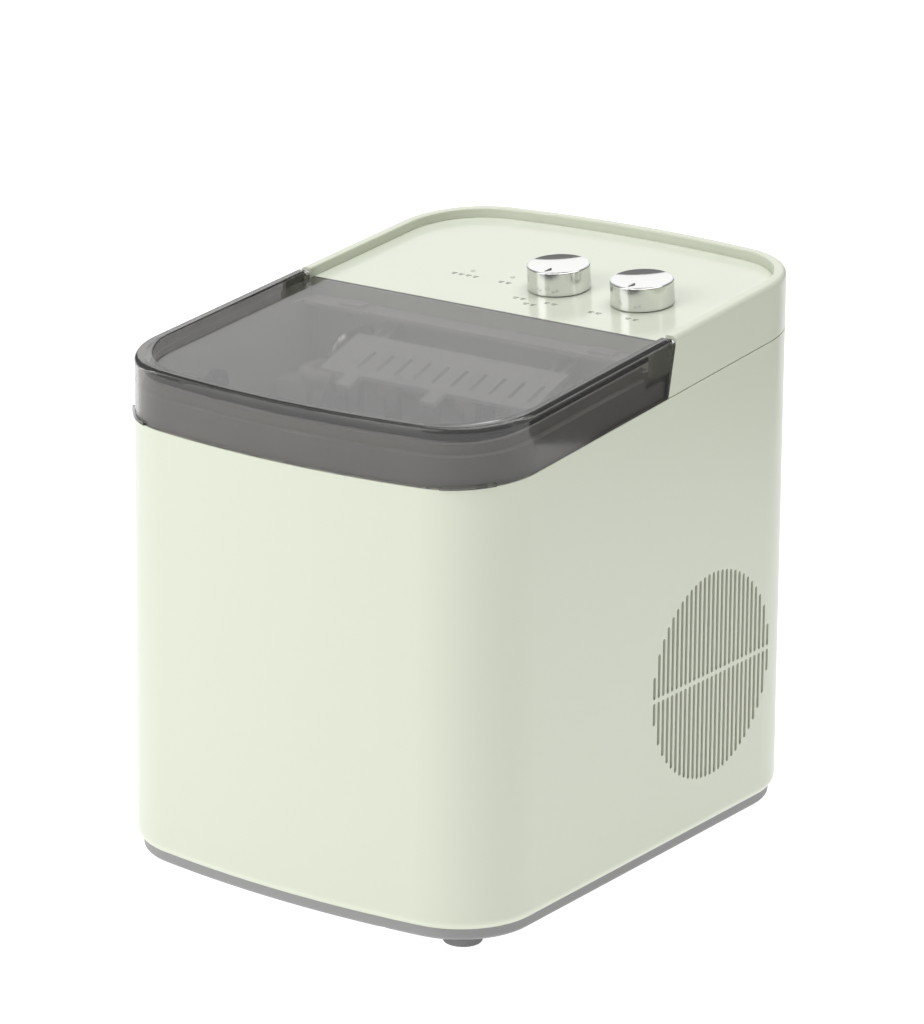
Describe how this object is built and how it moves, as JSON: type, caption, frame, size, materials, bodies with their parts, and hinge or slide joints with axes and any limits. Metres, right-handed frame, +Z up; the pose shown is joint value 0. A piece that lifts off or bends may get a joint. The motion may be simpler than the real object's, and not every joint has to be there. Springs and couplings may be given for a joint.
{
  "type": "ice maker",
  "caption": "Compact countertop ice maker: pale rounded casing, smoked hinged lid, sloping panel with chrome dials, side fan grille, lift-out basket.",
  "frame": {"origin": "on the counter, under the middle of the casing's outline", "axes": "+X to the user's right, -Y to the front, +Z up"},
  "size_m": [0.2314, 0.3034, 0.285],
  "materials": {
    "shell_plastic": "satin pale green-white",
    "panel_plastic": "glossy pale green-white",
    "base_plastic": "mid grey matt",
    "smoke_plastic": "smoked clear plastic",
    "chrome": "polished",
    "steel": "plain steel",
    "rubber": "matt",
    "liner_plastic": "satin white",
    "basket_plastic": "translucent white",
    "foam": "expanded foam",
    "plated_metal": "nickel plated",
    "copper": "copper tube",
    "black_plastic": "black",
    "black_paint": "black enamel",
    "aluminium": "thin fins",
    "board": "circuit board",
    "clear_lens": "milky lamp lens",
    "hose": "milky silicone"
  },
  "bodies": {
    "housing": {"body_shell": "shell_plastic", "rear_panel": "shell_plastic", "top_cover": "shell_plastic", "control_panel": "panel_plastic", "base_tray": "base_plastic", "rubber_feet": "rubber", "lid_pads": "rubber", "compressor_grommets": "rubber", "foot_screws": "steel", "base_screws": "steel", "rear_panel_screws": "steel", "cover_brackets": "steel", "cover_screws": "steel", "evaporator_bracket": "steel", "compressor_bolts": "steel", "switch_nuts": "steel", "cord_gland": "black_plastic", "rotary_switches": "black_plastic", "control_board_posts": "black_plastic", "relay_cover": "black_plastic", "fan_shroud": "black_plastic", "fan_motor": "black_plastic", "board_carrier": "black_plastic", "water_pump": "black_plastic", "ice_level_sensors": "black_plastic", "indicator_lenses": "clear_lens", "control_board": "board", "main_board": "board", "inner_liner": "liner_plastic", "tray_bearing": "liner_plastic", "tray_motor": "liner_plastic", "shovel_rails": "liner_plastic", "water_level_probe": "liner_plastic", "drain_outlet": "liner_plastic", "foam_insulation": "foam", "suction_hose": "hose", "fill_hose": "hose", "evaporator_tube": "plated_metal", "evaporator_fingers": "plated_metal", "compressor": "black_paint", "condenser_fins": "aluminium", "condenser_coil": "copper", "discharge_tube": "copper", "filter_drier": "copper", "liquid_tube": "copper", "capillary_tube": "copper", "suction_tube": "copper", "hot_gas_valve": "copper"},
    "lid_assembly": {"lid": "smoke_plastic", "lid_hinge_pins": "steel"},
    "left_dial": {"left_knob": "chrome", "left_knob_shaft": "black_plastic"},
    "right_dial": {"right_knob": "chrome", "right_knob_shaft": "black_plastic"},
    "basket": {"ice_basket": "basket_plastic"},
    "tray": {"water_tray": "basket_plastic"},
    "shovel": {"ice_shovel": "basket_plastic"},
    "fan_wheel": {"fan_blades": "black_plastic", "fan_shaft": "steel"},
    "drain_stopper": {"drain_plug": "hose"}
  },
  "joints": [
    {"name": "lid_hinge", "type": "hinge", "parent": "housing", "child": "lid_assembly", "pos_m": [0, 0.0088, 0.2674], "axis": [-1, 0, 0], "range_deg": [0, 100]},
    {"name": "left_dial_turn", "type": "hinge", "parent": "housing", "child": "left_dial", "pos_m": [0.0138, 0.05972, 0.27105], "axis": [0, -0.0958, 0.9954], "range_deg": [-30, 30]},
    {"name": "right_dial_turn", "type": "hinge", "parent": "housing", "child": "right_dial", "pos_m": [0.0638, 0.05972, 0.27105], "axis": [0, -0.0958, 0.9954], "range_deg": [-30, 30]},
    {"name": "basket_lift", "type": "slide", "parent": "housing", "child": "basket", "axis": [0, 0, 1], "range_m": [0, 0.028]},
    {"name": "tray_tilt", "type": "hinge", "parent": "housing", "child": "tray", "pos_m": [0, -0.012, 0.212], "axis": [1, 0, 0], "range_deg": [0, 60]},
    {"name": "shovel_slide", "type": "slide", "parent": "housing", "child": "shovel", "axis": [0, -0.9478, -0.319], "range_m": [0, 0.02]},
    {"name": "fan_spin", "type": "hinge", "parent": "housing", "child": "fan_wheel", "pos_m": [0.0975, 0.0514, 0.0897], "axis": [1, 0, 0], "continuous": true},
    {"name": "drain_pull", "type": "slide", "parent": "housing", "child": "drain_stopper", "axis": [-1, 0, 0], "range_m": [0, 0.014]}
  ],
  "couplings": [
    {"joint": "shovel_slide", "follows": "tray_tilt", "m_per_rad": 0.019}
  ]
}
